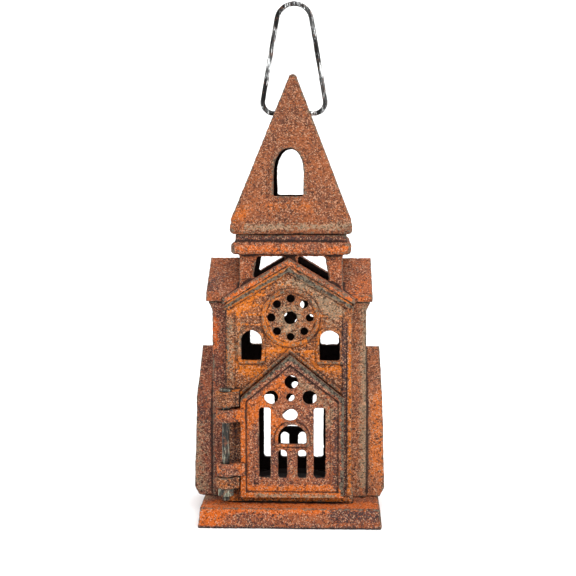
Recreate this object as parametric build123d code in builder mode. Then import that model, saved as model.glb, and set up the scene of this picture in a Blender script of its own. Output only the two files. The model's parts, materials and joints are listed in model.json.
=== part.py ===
from build123d import *
import os
from math import atan, cos, degrees, radians, sin

os.makedirs("parts", exist_ok=True)

# A hanging candle lantern of rough cast iron, shaped like a small church. Millimetres, +Z up, the front
# looks along -Y, and the origin is the middle of the base's foot on the ground. Four wall castings stand
# on a hollow plinth, a cross-gabled roof with an open belfry sits on them, and a hollow spire closes the
# top. Two tie rods clamp roof, walls and plinth together. A pierced door turns on a bolt at the left of
# the front, a wire loop swings in the spire, and a loose sheet-metal pan holds the candle.

# ---- castings in general
wall = 3.6                    # thickness of every cast wall
running_gap = 0.08            # radial gap of a pin in its hole
part_gap = 0.3                # gap between castings that only face each other

# ---- plinth
base_width = 107.4
base_height = 12.0
base_draft = 6.5              # degrees, so that the plinth leaves its mould
base_floor = 4.0
base_corner = 1.6
peg_length = 7.0
peg_width = 2.6
peg_height = 2.6

# ---- front and rear facades
body_middle = -1.1            # the walls and roofs sit a little to the left on the plinth
bay_half = 37.0
bay_face = 39.0
bay_ridge = 152.0             # underside of the roof over the bays
roof_slope = 0.6              # rise over run, the same on every upper roof
sill_height = 4.6
gable_rim = 3.1
gable_rim_proud = 1.2
gable_rim_over = 0.9
gable_rim_drop = 0.9          # how far the moulding's peak is below the roof's underside
pilaster_width = 5.2
pilaster_proud = 1.0
rose_height = 121.5
rose_outer = 16.9
rose_inner = 14.8
rose_proud = 1.3
rose_petal_circle = 11.2
rose_petal_radius = 2.25
rose_petal_count = 8
rose_eye_radius = 3.7
window_side = 22.8
window_half = 5.85
window_sill = 96.4
window_height = 17.6
window_corner = 1.2           # lower corners of every window-shaped opening
surround_width = 1.9
surround_proud = 0.9
ledge_height = 1.8
ledge_proud = 1.7

# ---- door
door_middle = 1.2             # the door hangs a little to the right of the bay's middle
door_lean = -1.3              # and its peak stands to the left of its own middle
door_half = 30.2
door_bottom = 16.2
door_shoulder = 75.0
door_peak = 100.6
door_thick = 3.3
door_behind = 2.0             # gap between the bay's face and the back of the door
door_lap = 4.6                # how far the door covers the wall around the doorway
door_rim = 3.0
door_rim_proud = 1.5
panel_border = 7.4
panel_sink = 0.8
hood_gap = 0.6
hood_width = 2.2
hood_proud = 1.2

# ---- openings in the door's tracery, measured from the door's middle and bottom
ring_radius = 3.95
ring_side = 11.2
ring_side_height = 59.3
ring_top_height = 68.3
dot_radius = 2.3
oval_half_width = 4.3
oval_half_height = 3.4
oval_height = 48.9
arch_half = 8.3
arch_sill = 31.9
arch_rise = 11.3
arch_rib = 1.6
slot_sill = 11.7
slot_height = 16.4
slot_width = 5.0
slot_side = 5.7
lancet_height = 41.2
lancet_width = 6.6
lancet_side = 16.0
middle_shift = -1.2           # the dot and the oval sit a little to the left
top_ring_shift = -0.5         # and so do the top ring
side_ring_shift = -1.1        # and the rings at the sides

# ---- rear facade: the door's pattern turned round and lower, the rose off the middle
rear_tracery_middle = -0.5
rear_tracery_drop = 7.2
rear_rose_middle = 2.5
rear_rose_height = 120.7
rear_petal_count = 6
rear_window_drop = 1.4

# ---- hinge
hinge_x = -37.4
hinge_y = -46.0
hinge_radius = 2.3
eye_radius = 5.5
lug_radius = 6.1
lug_reach = 8.0
lug_half_depth = 2.0
upper_lug = (70.6, 79.4)
upper_knuckle = (61.6, 69.0)
lower_knuckle = (29.6, 37.2)
lower_lug = (22.4, 29.2)
bolt_head_radius = 3.7
bolt_head_height = 1.9
bolt_tail = 3.4
bolt_head_round = 1.1
hinge_nut_across = 9.0
hinge_nut_height = 4.6

# ---- side castings
nave_half = 45.7
nave_face = 28.0
transept_ridge = bay_ridge - 2.0        # underside of the roof over the transepts
bed_height = 5.6              # moulding under the eaves of the transepts
bed_over = 2.4
wing_face = 26.0
wing_ridge = 99.8
wing_eave = 72.0
wing_at_ridge = 54.6
wing_at_eave = 55.6
wing_at_foot = 57.2
wing_foot = 17.5
wing_toe_in = 2.8

# ---- roof with belfry
roof_thick = 4.0
bay_eave_over = 1.8
bay_verge = 38.6
transept_verge = 49.1
transept_eave = 33.0
tower_half = 30.5
belfry_opening_half = 22.3
belfry_opening_foot = bay_ridge - 9.0   # above this height the opening narrows
belfry_opening_top = 19.9
belfry_lintel = bay_ridge + 4.7
belfry_corner = 1.6
crest_width = 8.0             # block that joins the bay roof's ridge to the belfry's lintel
tower_leg = bay_ridge - 22.4
lower_band_half = 35.3
lower_band = (bay_ridge + 5.9, bay_ridge + 13.3)
cove_half = 32.6
cove_top = bay_ridge + 17.9
band_round = 2.6
flange_opening_half = 20.0

# ---- spire
upper_band_half = 35.8
upper_band_top = bay_ridge + 25.6
spire_half = 35.5
spire_slope = 0.386           # inward run over rise
spire_height = 84.6
spire_arris = 2.0
spire_tip_radius = 2.9
spire_floor = 3.6
spire_hollow_tip = 0.8
lucarne_middle = -1.6
lucarne_half = 8.7
lucarne_sill = upper_band_top + 14.4
lucarne_spring = upper_band_top + 28.4
lucarne_peak = upper_band_top + 42.4
lucarne_rim = 2.2
lucarne_rim_proud = 0.7
spire_boss_radius = 4.4
spire_boss_height = 5.0

# ---- hanging loop
loop_axis = upper_band_top + 63.8
loop_wire = 1.6
loop_hole_gap = 0.45
loop_middle = 0.8
loop_half = 20.2
loop_lean = 9.9              # degrees between each leg and the vertical
loop_corner = 6.7
loop_crown = 10.5
loop_butt = 0.5

# ---- candle pan
pan_radius = 27.5
pan_floor_radius = 25.6
pan_height = 3.3
pan_sheet = 0.8

# ---- fasteners
tie_radius = 2.0
tie_boss_radius = 4.6
tie_boss_drop = 10.5
tie_thread_depth = 9.0
tie_tail = 4.6
tie_nut_across = 7.0
tie_nut_height = 3.2
screw_radius = 1.75
screw_head_radius = 3.5
screw_head_height = 2.4
thread_gap = 0.05

# ---- places worked out from the sizes above
bay_eave = bay_ridge - roof_slope * bay_half
nave_eave = transept_ridge - roof_slope * nave_face
bay_eave_half = bay_half + bay_eave_over
bay_eave_under = bay_ridge - roof_slope * bay_eave_half
transept_eave_under = transept_ridge - roof_slope * transept_eave
door_back = bay_face + door_behind
door_face = door_back + door_thick
doorway_slope = (door_peak - door_shoulder) / door_half
front_plane = Plane.XZ.offset(bay_face)
door_plane = Plane.XZ.offset(door_face)
hinge_axis = (hinge_x, hinge_y)
spire_screw_place = tower_half - wall - screw_head_radius - part_gap
tie_reach = nave_half - wall - tie_boss_radius - part_gap
tie_places = [(body_middle - tie_reach, 0), (body_middle + tie_reach, 0)]


def finish(piece, name):
    """Labels a finished piece and writes its file."""
    piece.part.label = name
    export_step(piece.part, f"parts/{name}.step")


def gabled(half, foot, shoulder, peak, middle=0.0, lean=0.0):
    """Points of a plate with upright sides and a gable on top, whose peak can stand off the middle."""
    return [
        (middle - half, foot),
        (middle - half, shoulder),
        (middle + lean, peak),
        (middle + half, shoulder),
        (middle + half, foot),
    ]


def square_ring(half, bottom, top):
    """Sizes and centre of a square block that stands between two heights."""
    return (2 * half, 2 * half, top - bottom), (0, 0, (bottom + top) / 2)


def cornice_band(half, bottom, top):
    """A square block with rounded edges, one of the two cornice bands."""
    with BuildPart() as band:
        (width, depth, height), centre = square_ring(half, bottom, top)
        with Locations(centre):
            Box(width, depth, height)
        fillet(band.edges(), band_round)
    return band.part


# ---- shared outlines
def arched_window(middle, half, sill, height):
    """A window outline with upright jambs, a round head and rounded lower corners."""
    spring = sill + height - half
    with BuildSketch() as outline:
        with BuildLine():
            FilletPolyline(
                (middle + half, spring),
                (middle + half, sill),
                (middle - half, sill),
                (middle - half, spring),
                radius=window_corner,
            )
            ThreePointArc((middle - half, spring), (middle, spring + half), (middle + half, spring))
        make_face()
    return outline.sketch


def tracery():
    """The pierced pattern of the door, with its own middle and bottom as origin."""
    with BuildSketch() as pattern:
        left_ring = (side_ring_shift - ring_side, ring_side_height)
        right_ring = (side_ring_shift + ring_side, ring_side_height)
        with Locations(left_ring, right_ring, (top_ring_shift, ring_top_height)):
            Circle(ring_radius)
        with Locations((middle_shift, ring_side_height)):
            Circle(dot_radius)
        with Locations((middle_shift, oval_height)):
            Ellipse(oval_half_width, oval_half_height)
        for side in (-1, 1):
            with Locations((side * slot_side, slot_sill + slot_height / 2)):
                SlotOverall(slot_height, slot_width, rotation=90)
            with Locations((side * slot_side, slot_sill + slot_height / 4)):
                Rectangle(slot_width, slot_height / 2)
            with Locations((side * lancet_side, slot_sill + lancet_height / 2)):
                RectangleRounded(lancet_width, lancet_height, lancet_width / 5)
        add(arched_window(0, arch_half, arch_sill, arch_rise))
    return pattern.sketch


def gable_band(half, shoulder, peak, width, middle=0.0, lean=0.0):
    """A band that follows the two slopes of a gable, measured downwards from its upper edge."""
    return [
        (middle - half, shoulder),
        (middle + lean, peak),
        (middle + half, shoulder),
        (middle + half, shoulder - width),
        (middle + lean, peak - width),
        (middle - half, shoulder - width),
    ]


def facade(rose_middle, rose_level, petal_count, window_drop):
    """What the front and rear facades share: a gabled wall with side returns, rose and two windows."""
    with BuildPart() as blank:
        with BuildSketch(front_plane):
            Polygon(*gabled(bay_half, base_height, bay_eave, bay_ridge, body_middle), align=None)
        extrude(amount=nave_face - bay_face)
        with BuildSketch(front_plane.offset(-wall)):
            with Locations((body_middle, bay_ridge / 2)):
                Rectangle(2 * (bay_half - wall), 2 * bay_ridge)
        extrude(amount=-bay_face, mode=Mode.SUBTRACT)
        # gable moulding and the pilasters at the corners
        rim_half = bay_half + gable_rim_over
        rim_peak = bay_ridge - gable_rim_drop
        rim_end = rim_peak - roof_slope * rim_half
        with BuildSketch(front_plane):
            Polygon(*gable_band(rim_half, rim_end, rim_peak, gable_rim, body_middle), align=None)
        extrude(amount=gable_rim_proud)
        pilaster_height = bay_eave - gable_rim - base_height
        with BuildSketch(front_plane):
            for side in (-1, 1):
                pilaster_x = body_middle + side * (bay_half - pilaster_width / 2)
                with Locations((pilaster_x, base_height + pilaster_height / 2)):
                    Rectangle(pilaster_width, pilaster_height)
        extrude(amount=pilaster_proud)
        # rose
        with BuildSketch(front_plane):
            with Locations((rose_middle, rose_level)):
                Circle(rose_outer)
                Circle(rose_inner, mode=Mode.SUBTRACT)
        extrude(amount=rose_proud)
        with BuildSketch(front_plane.offset(rose_proud)):
            with Locations((rose_middle, rose_level)):
                Circle(rose_eye_radius)
                with PolarLocations(rose_petal_circle, petal_count, start_angle=90):
                    Circle(rose_petal_radius)
        extrude(amount=-wall - 2 * rose_proud, mode=Mode.SUBTRACT)
        # windows, each with a raised surround and a ledge
        sill = window_sill - window_drop
        for middle in (-window_side, window_side):
            surround_half = window_half + surround_width
            outer = arched_window(middle, surround_half, sill, window_height + surround_width)
            inner = arched_window(middle, window_half, sill, window_height)
            with BuildSketch(front_plane):
                add(outer)
            extrude(amount=surround_proud)
            with BuildSketch(front_plane):
                with Locations((middle, sill - ledge_height / 2)):
                    Rectangle(2 * (window_half + surround_width), ledge_height)
            extrude(amount=ledge_proud)
            with BuildSketch(front_plane.offset(surround_proud)):
                add(inner)
            extrude(amount=-wall - 2 * surround_proud, mode=Mode.SUBTRACT)
    return blank.part


# ================================================================ plinth
with BuildPart() as base_plinth:
    with BuildSketch():
        RectangleRounded(base_width, base_width, base_corner)
    extrude(amount=base_height, taper=base_draft)
    with BuildSketch():
        RectangleRounded(base_width - 2 * wall, base_width - 2 * wall, base_corner)
    extrude(amount=base_height - base_floor, taper=base_draft, mode=Mode.SUBTRACT)
    # pegs that locate the four wall castings from inside
    peg_from_bay = bay_face - wall - part_gap - peg_width / 2
    peg_from_wing = wing_at_foot - wing_toe_in - wall - part_gap - peg_width
    with Locations((body_middle, 0, base_height)):
        with GridLocations(2 * (bay_half - 2 * wall) - peg_length, 2 * peg_from_bay, 2, 2):
            Box(peg_length, peg_width, peg_height, align=(Align.CENTER, Align.CENTER, Align.MIN))
        with GridLocations(2 * peg_from_wing, wing_face, 2, 2):
            Box(peg_width, peg_length, peg_height, align=(Align.CENTER, Align.CENTER, Align.MIN))
    with Locations(Plane.XY.offset(base_height)):
        with Locations(*tie_places):
            Hole(tie_radius + thread_gap, depth=2 * base_floor)
finish(base_plinth, "base_plinth")

# ================================================================ front facade
lug_heights = (upper_lug, lower_lug)
with BuildPart() as front_facade:
    add(facade(0, rose_height, rose_petal_count, 0))
    # doorway, smaller than the door by its lap
    gable_lap = door_lap * (1 + doorway_slope)
    with BuildSketch(front_plane.offset(pilaster_proud)):
        doorway = gabled(
            door_half - door_lap,
            base_height + sill_height,
            door_shoulder - door_lap,
            door_peak - gable_lap,
            door_middle,
            door_lean,
        )
        Polygon(*doorway, align=None)
    extrude(amount=-wall - 2 * pilaster_proud, mode=Mode.SUBTRACT)
    # hood mould on the wall just above the door
    with BuildSketch(front_plane):
        hood_peak = door_peak + hood_gap + hood_width
        hood_end = hood_peak - doorway_slope * bay_half
        hood_lean = door_lean * bay_half / door_half
        hood = gable_band(bay_half, hood_end, hood_peak, hood_width, door_middle, hood_lean)
        Polygon(*hood, align=None)
        with Locations((body_middle, door_peak)):
            Rectangle(2 * (bay_half - pilaster_width), bay_ridge, mode=Mode.INTERSECT)
    extrude(amount=hood_proud)
    # two lugs that carry the hinge bolt
    for bottom, top in lug_heights:
        with BuildSketch(Plane.XY.offset(bottom)):
            with Locations(hinge_axis):
                Circle(lug_radius)
            arm_front = hinge_y - lug_half_depth
            with Locations((hinge_x + lug_reach / 2, (arm_front - bay_face) / 2)):
                Rectangle(lug_reach, -bay_face - arm_front)
        extrude(amount=top - bottom)
    with Locations((hinge_x, hinge_y, 0)):
        Cylinder(hinge_radius + running_gap, 2 * upper_lug[1], mode=Mode.SUBTRACT)
finish(front_facade, "front_facade")

# ================================================================ rear facade
with BuildPart() as rear_facade:
    rear_blank = facade(rear_rose_middle, rear_rose_height, rear_petal_count, rear_window_drop)
    add(mirror(rear_blank, about=Plane.XZ))
    # a plain copy of the door is cast in one with this wall, with the same rim and openings
    rear_outline = gabled(
        door_half,
        base_height + part_gap,
        door_shoulder - rear_tracery_drop,
        door_peak - rear_tracery_drop,
    )
    rear_inside = gabled(
        door_half - door_rim,
        base_height + part_gap + door_rim,
        door_shoulder - rear_tracery_drop - door_rim / 2,
        door_peak - rear_tracery_drop - door_rim * (1 + doorway_slope),
    )
    back_face = Plane.XZ.offset(-bay_face)
    with BuildSketch(back_face):
        Polygon(*rear_outline, align=None)
        Polygon(*rear_inside, align=None, mode=Mode.SUBTRACT)
    extrude(amount=-door_rim_proud)
    rear_origin = (rear_tracery_middle, bay_face + door_rim_proud, door_bottom - rear_tracery_drop)
    with BuildSketch(Plane(origin=rear_origin, x_dir=(-1, 0, 0), z_dir=(0, 1, 0))):
        add(tracery())
    extrude(amount=-wall - 2 * door_rim_proud, mode=Mode.SUBTRACT)
finish(rear_facade, "rear_facade")


# ================================================================ side castings
def side_casting(side):
    """One transept with its low wing; side is -1 for the left and 1 for the right."""
    nave_inner = nave_half - wall
    wing_roof_drop = wall / cos(atan((wing_ridge - wing_eave) / wing_face))
    with BuildPart() as casting:
        # transept: a gabled box, open towards the middle of the building
        with BuildSketch(Plane.YZ.offset(bay_half - wall + part_gap)):
            Polygon(*gabled(nave_face, base_height, nave_eave, transept_ridge), align=None)
        extrude(amount=nave_half - bay_half + wall - part_gap)
        # moulding under the eaves, which spreads from the wall towards the roof
        bed_start = bay_half + part_gap
        for height, over in ((transept_eave_under - bed_height, 0), (transept_eave_under, bed_over)):
            with BuildSketch(Plane.XY.offset(height)):
                with Locations(((bed_start + nave_half + over) / 2, 0)):
                    Rectangle(nave_half + over - bed_start, 2 * (nave_face + over))
        loft()
        # low wing: its end wall leans outwards to a foot and tucks in below it
        with BuildSketch(Plane.XZ):
            Polygon(
                (nave_half - wall, base_height),
                (wing_at_foot - wing_toe_in, base_height),
                (wing_at_foot, wing_foot),
                (wing_at_eave, wing_eave),
                (wing_at_ridge, wing_ridge),
                (nave_half - wall, wing_ridge),
                align=None,
            )
        wing_block = extrude(amount=wing_face, both=True, mode=Mode.PRIVATE)
        with BuildSketch(Plane.YZ):
            Polygon(*gabled(wing_face, base_height, wing_eave, wing_ridge), align=None)
        wing_roof = extrude(amount=wing_at_foot, mode=Mode.PRIVATE)
        add(wing_block & wing_roof)
        # the hollow of the transept stops at a flange behind each facade
        with BuildSketch(Plane.XY.offset(base_height)):
            with Locations((nave_inner / 2, 0)):
                Rectangle(nave_inner, 2 * (nave_face - wall))
        extrude(amount=transept_ridge, mode=Mode.SUBTRACT)
        # the hollow of the wing, one wall inside its skin
        with BuildSketch(Plane.XZ):
            Polygon(
                (nave_inner - wall, base_height),
                (wing_at_foot - wing_toe_in - wall, base_height),
                (wing_at_foot - wall, wing_foot + wall / 2),
                (wing_at_eave - wall, wing_eave),
                (wing_at_ridge - wall, wing_ridge),
                (nave_inner - wall, wing_ridge),
                align=None,
            )
        hollow_block = extrude(amount=wing_face, both=True, mode=Mode.PRIVATE)
        with BuildSketch(Plane.YZ):
            inside_eave = wing_eave - (wing_roof_drop - wall * (wing_ridge - wing_eave) / wing_face)
            inside = gabled(wing_face - wall, base_height, inside_eave, wing_ridge - wing_roof_drop)
            Polygon(*inside, align=None)
        hollow_roof = extrude(amount=wing_at_foot, mode=Mode.PRIVATE)
        add(hollow_block & hollow_roof, mode=Mode.SUBTRACT)
    if side < 0:
        return mirror(casting.part, about=Plane.YZ, mode=Mode.PRIVATE)
    return casting.part


for side, name in ((-1, "left_side"), (1, "right_side")):
    with BuildPart() as side_wall:
        add(side_casting(side).moved(Location((body_middle, 0, 0))))
    finish(side_wall, name)


# ================================================================ roof with belfry
def belfry_shaft():
    """The square tower from below the roof up to its lower band, with an arched opening in each side."""
    with BuildPart() as shaft:
        (width, depth, height), centre = square_ring(tower_half, tower_leg, lower_band[0])
        with Locations(centre):
            Box(width, depth, height)
        for plane in (Plane.XZ, Plane.YZ):
            with BuildSketch(plane):
                opening = Polygon(
                    (-belfry_opening_half, base_height),
                    (-belfry_opening_half, belfry_opening_foot),
                    (-belfry_opening_top, belfry_lintel),
                    (belfry_opening_top, belfry_lintel),
                    (belfry_opening_half, belfry_opening_foot),
                    (belfry_opening_half, base_height),
                    align=None,
                )
                fillet(opening.vertices().group_by(Axis.Z)[-1], belfry_corner)
            extrude(amount=base_width, both=True, mode=Mode.SUBTRACT)
        # blocks over the ridge of the bay roof, in the front and rear openings
        crest_height = lower_band[0] - bay_ridge
        crest_y = tower_half - wall / 2
        crest_z = bay_ridge + crest_height / 2
        with Locations((0, -crest_y, crest_z), (0, crest_y, crest_z)):
            Box(crest_width, wall, crest_height)
    return shaft.part


with BuildPart() as roof_belfry:
    # two gabled roofs that cross, hollow below
    bay_eave_top = bay_eave_under + roof_thick
    bay_peak = bay_ridge + roof_thick
    bay_outline = gabled(bay_eave_half, bay_eave_under, bay_eave_top, bay_peak, body_middle)
    with BuildSketch(Plane.XZ):
        Polygon(*bay_outline, align=None)
    extrude(amount=bay_verge, both=True)
    with BuildSketch(Plane.YZ.offset(body_middle)):
        transept_outline = gabled(
            transept_eave,
            transept_eave_under,
            transept_eave_under + roof_thick,
            transept_ridge + roof_thick,
        )
        Polygon(*transept_outline, align=None)
    extrude(amount=transept_verge, both=True)
    with BuildSketch(Plane.XZ):
        Polygon(*gabled(bay_eave_half, base_height, bay_eave_under, bay_ridge, body_middle), align=None)
    extrude(amount=base_width, both=True, mode=Mode.SUBTRACT)
    with BuildSketch(Plane.YZ):
        Polygon(*gabled(transept_eave, base_height, transept_eave_under, transept_ridge), align=None)
    extrude(amount=base_width, both=True, mode=Mode.SUBTRACT)
    add(belfry_shaft())
    # lower cornice band and the cove above it
    add(cornice_band(lower_band_half, *lower_band))
    (width, depth, height), centre = square_ring(cove_half, lower_band[1], cove_top)
    with Locations(centre):
        Box(width, depth, height)
    # the shaft is open from below, and a flange closes it in to a smaller square
    shaft_inner = tower_half - wall
    (width, depth, height), centre = square_ring(shaft_inner, base_height, lower_band[1])
    with Locations(centre):
        Box(width, depth, height, mode=Mode.SUBTRACT)
    with BuildSketch(Plane.XY.offset(lower_band[1])):
        Rectangle(2 * flange_opening_half, 2 * flange_opening_half)
    extrude(amount=cove_top - lower_band[1], mode=Mode.SUBTRACT)
    # bosses under the transept ridges for the tie rods, and holes for the spire's screws
    with BuildSketch(Plane.XY.offset(transept_ridge - tie_boss_drop)):
        with Locations(*tie_places):
            Circle(tie_boss_radius)
    extrude(amount=tie_boss_drop)
    with BuildSketch(Plane.XY.offset(transept_ridge - tie_boss_drop)):
        with Locations(*tie_places):
            Circle(tie_radius + thread_gap)
    extrude(amount=tie_thread_depth, mode=Mode.SUBTRACT)
    with BuildSketch(Plane.XY.offset(lower_band[1])):
        with GridLocations(2 * spire_screw_place, 2 * spire_screw_place, 2, 2):
            Circle(screw_radius + thread_gap)
    extrude(amount=cove_top - lower_band[1], mode=Mode.SUBTRACT)
finish(roof_belfry, "roof_belfry")

# ================================================================ spire
spire_taper = degrees(atan(spire_slope))
spire_inset = wall / cos(atan(spire_slope))


def spire_outline(half, arris):
    """A square with its corners cut off, the spire's section."""
    with BuildSketch() as outline:
        Rectangle(2 * half, 2 * half)
        chamfer(outline.vertices(), arris)
    return outline.sketch


with BuildPart() as spire:
    with BuildSketch(Plane.XY.offset(upper_band_top)):
        add(spire_outline(spire_half, spire_arris))
    extrude(amount=spire_height, taper=spire_taper)
    with Locations((0, 0, upper_band_top + spire_height)):
        Sphere(spire_tip_radius)
    # raised surround of the two windows: a slightly larger spire, kept only around the outline
    with BuildSketch(Plane.XY.offset(upper_band_top)):
        add(spire_outline(spire_half + lucarne_rim_proud, spire_arris))
    larger = extrude(amount=spire_height - wall, taper=spire_taper, mode=Mode.PRIVATE)
    with BuildSketch(Plane.XZ):
        with Locations((lucarne_middle, 0)):
            with Locations((0, (lucarne_sill - lucarne_rim + lucarne_spring) / 2)):
                Rectangle(2 * (lucarne_half + lucarne_rim), lucarne_spring - lucarne_sill + lucarne_rim)
            with Locations((0, lucarne_spring)):
                Ellipse(lucarne_half + lucarne_rim, lucarne_peak - lucarne_spring + lucarne_rim)
    around = extrude(amount=spire_half, both=True, mode=Mode.PRIVATE)
    add(larger & around)
    # upper cornice band
    add(cornice_band(upper_band_half, cove_top, upper_band_top))
    # hollow inside, open below through the flange
    hollow_half = spire_half - spire_inset
    hollow_bottom = cove_top + spire_floor
    hollow_height = (hollow_half - spire_hollow_tip) / spire_slope
    with BuildSketch(Plane.XY.offset(hollow_bottom)):
        Rectangle(2 * hollow_half, 2 * hollow_half)
    extrude(amount=upper_band_top - hollow_bottom, mode=Mode.SUBTRACT)
    with BuildSketch(Plane.XY.offset(upper_band_top)):
        Rectangle(2 * hollow_half, 2 * hollow_half)
    extrude(amount=hollow_height, taper=spire_taper, mode=Mode.SUBTRACT)
    with BuildSketch(Plane.XY.offset(cove_top)):
        Rectangle(2 * flange_opening_half, 2 * flange_opening_half)
    extrude(amount=spire_floor, mode=Mode.SUBTRACT)
    # bosses that take the screws from below
    with BuildSketch(Plane.XY.offset(hollow_bottom)):
        with GridLocations(2 * spire_screw_place, 2 * spire_screw_place, 2, 2):
            Circle(spire_boss_radius)
    extrude(amount=spire_boss_height)
    with BuildSketch(Plane.XY.offset(cove_top)):
        with GridLocations(2 * spire_screw_place, 2 * spire_screw_place, 2, 2):
            Circle(screw_radius + thread_gap)
    extrude(amount=spire_floor + spire_boss_height, mode=Mode.SUBTRACT)
    # windows to the front and rear
    with BuildSketch(Plane.XZ):
        with Locations((lucarne_middle, 0)):
            with Locations((0, (lucarne_sill + lucarne_spring) / 2)):
                Rectangle(2 * lucarne_half, lucarne_spring - lucarne_sill)
            with Locations((0, lucarne_spring)):
                Ellipse(lucarne_half, lucarne_peak - lucarne_spring)
    extrude(amount=2 * spire_half, both=True, mode=Mode.SUBTRACT)
    # hole for the wire loop, from side to side near the top
    with Locations((0, 0, loop_axis)):
        Cylinder(loop_wire + loop_hole_gap, 2 * spire_half, rotation=(0, 90, 0), mode=Mode.SUBTRACT)
finish(spire, "spire")

# ================================================================ door
with BuildPart() as door:
    outline = gabled(door_half, door_bottom, door_shoulder, door_peak, door_middle, door_lean)
    rim_peak = door_peak - door_rim * (1 + doorway_slope)
    inside_rim = gabled(
        door_half - door_rim,
        door_bottom + door_rim,
        door_shoulder - door_rim / 2,
        rim_peak,
        door_middle,
        door_lean,
    )
    panel = gabled(
        door_half - panel_border,
        door_bottom + panel_border,
        door_shoulder - panel_border / 2,
        door_peak - panel_border * (1 + doorway_slope),
        door_middle,
        door_lean,
    )
    with BuildSketch(door_plane):
        Polygon(*outline, align=None)
    extrude(amount=-door_thick)
    with BuildSketch(door_plane):
        Polygon(*outline, align=None)
        Polygon(*inside_rim, align=None, mode=Mode.SUBTRACT)
    extrude(amount=door_rim_proud)
    with BuildSketch(door_plane):
        Polygon(*panel, align=None)
    extrude(amount=-panel_sink, mode=Mode.SUBTRACT)
    # a rib around the small arch, and the pierced pattern
    pattern_origin = (door_middle, -door_face, door_bottom)
    pattern_plane = Plane(origin=pattern_origin, x_dir=(1, 0, 0), z_dir=(0, -1, 0))
    with BuildSketch(pattern_plane.offset(-panel_sink)):
        add(arched_window(0, arch_half + arch_rib, arch_sill - arch_rib, arch_rise + 2 * arch_rib))
    extrude(amount=2 * panel_sink)
    with BuildSketch(pattern_plane.offset(door_rim_proud)):
        add(tracery())
    extrude(amount=-door_thick - 2 * door_rim_proud, mode=Mode.SUBTRACT)
    # two knuckles between the lugs of the facade
    for bottom, top in (upper_knuckle, lower_knuckle):
        with BuildSketch(Plane.XY.offset(bottom)):
            with Locations(hinge_axis):
                Circle(eye_radius)
            arm_end = door_middle - door_half + door_rim
            arm_front = hinge_y - lug_half_depth
            arm_back = -door_back - part_gap
            with Locations(((hinge_x + arm_end) / 2, (arm_front + arm_back) / 2)):
                Rectangle(arm_end - hinge_x, arm_back - arm_front)
        extrude(amount=top - bottom)
    with Locations((hinge_x, hinge_y, 0)):
        Cylinder(hinge_radius + running_gap, 2 * upper_lug[1], mode=Mode.SUBTRACT)
finish(door, "door")

# ================================================================ hinge bolt and its nut
hinge_plane = Plane(origin=(hinge_x, hinge_y, 0))
nut_top = lower_lug[0]
nut_bottom = nut_top - hinge_nut_height
bolt_end = nut_bottom - bolt_tail
with BuildPart() as hinge_bolt:
    with BuildSketch(hinge_plane.offset(bolt_end)):
        Circle(hinge_radius)
    extrude(amount=upper_lug[1] - bolt_end)
    chamfer(faces().sort_by(Axis.Z)[0].edges(), hinge_radius / 3)
    with BuildSketch(hinge_plane.offset(upper_lug[1])):
        Circle(bolt_head_radius)
    extrude(amount=bolt_head_height)
    fillet(faces().sort_by(Axis.Z)[-1].edges(), bolt_head_round)
finish(hinge_bolt, "hinge_bolt")

with BuildPart() as hinge_nut:
    with BuildSketch(hinge_plane.offset(nut_bottom)):
        RegularPolygon(hinge_nut_across / 2, 6, major_radius=False, rotation=30)
        Circle(hinge_radius + thread_gap, mode=Mode.SUBTRACT)
    extrude(amount=hinge_nut_height)
finish(hinge_nut, "hinge_nut")

# ================================================================ hanging loop
# A loop of wire with two legs that lean together. Its ends meet inside the spire with a small gap.
loop_point = loop_axis + loop_half / sin(radians(loop_lean)) * cos(radians(loop_lean))
with BuildPart() as hanging_loop:
    with BuildLine(Plane.XZ) as loop_path:
        FilletPolyline(
            (loop_butt / 2, loop_axis),
            (loop_middle + loop_half, loop_axis),
            (loop_middle, loop_point),
            (loop_middle - loop_half, loop_axis),
            (-loop_butt / 2, loop_axis),
            radius=[loop_corner, loop_crown, loop_corner],
        )
    with BuildSketch(Plane(origin=(loop_butt / 2, 0, loop_axis), z_dir=(1, 0, 0))):
        Circle(loop_wire)
    sweep(path=loop_path.line)
finish(hanging_loop, "hanging_loop")

# ================================================================ candle pan
with BuildPart() as candle_pan:
    with BuildSketch(Plane.XZ):
        with BuildLine():
            rim_inner = pan_radius - pan_sheet
            Polyline(
                (0, base_height),
                (pan_floor_radius, base_height),
                (pan_radius, base_height + pan_height),
                (rim_inner, base_height + pan_height),
                (pan_floor_radius - pan_sheet, base_height + pan_sheet),
                (0, base_height + pan_sheet),
                close=True,
            )
        make_face()
    revolve(axis=Axis.Z)
finish(candle_pan, "candle_pan")

# ================================================================ tie rods and their nuts
tie_seat = base_height - base_floor
tie_top = transept_ridge - tie_boss_drop + tie_thread_depth - thread_gap
with BuildPart() as tie_rods:
    with BuildSketch(Plane.XY.offset(tie_seat - tie_tail)):
        with Locations(*tie_places):
            Circle(tie_radius)
    extrude(amount=tie_top - tie_seat + tie_tail)
finish(tie_rods, "tie_rods")

with BuildPart() as tie_nuts:
    with BuildSketch(Plane.XY.offset(tie_seat - tie_nut_height)):
        with Locations(*tie_places):
            RegularPolygon(tie_nut_across / 2, 6, major_radius=False)
            Circle(tie_radius + thread_gap, mode=Mode.SUBTRACT)
    extrude(amount=tie_nut_height)
finish(tie_nuts, "tie_nuts")

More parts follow.
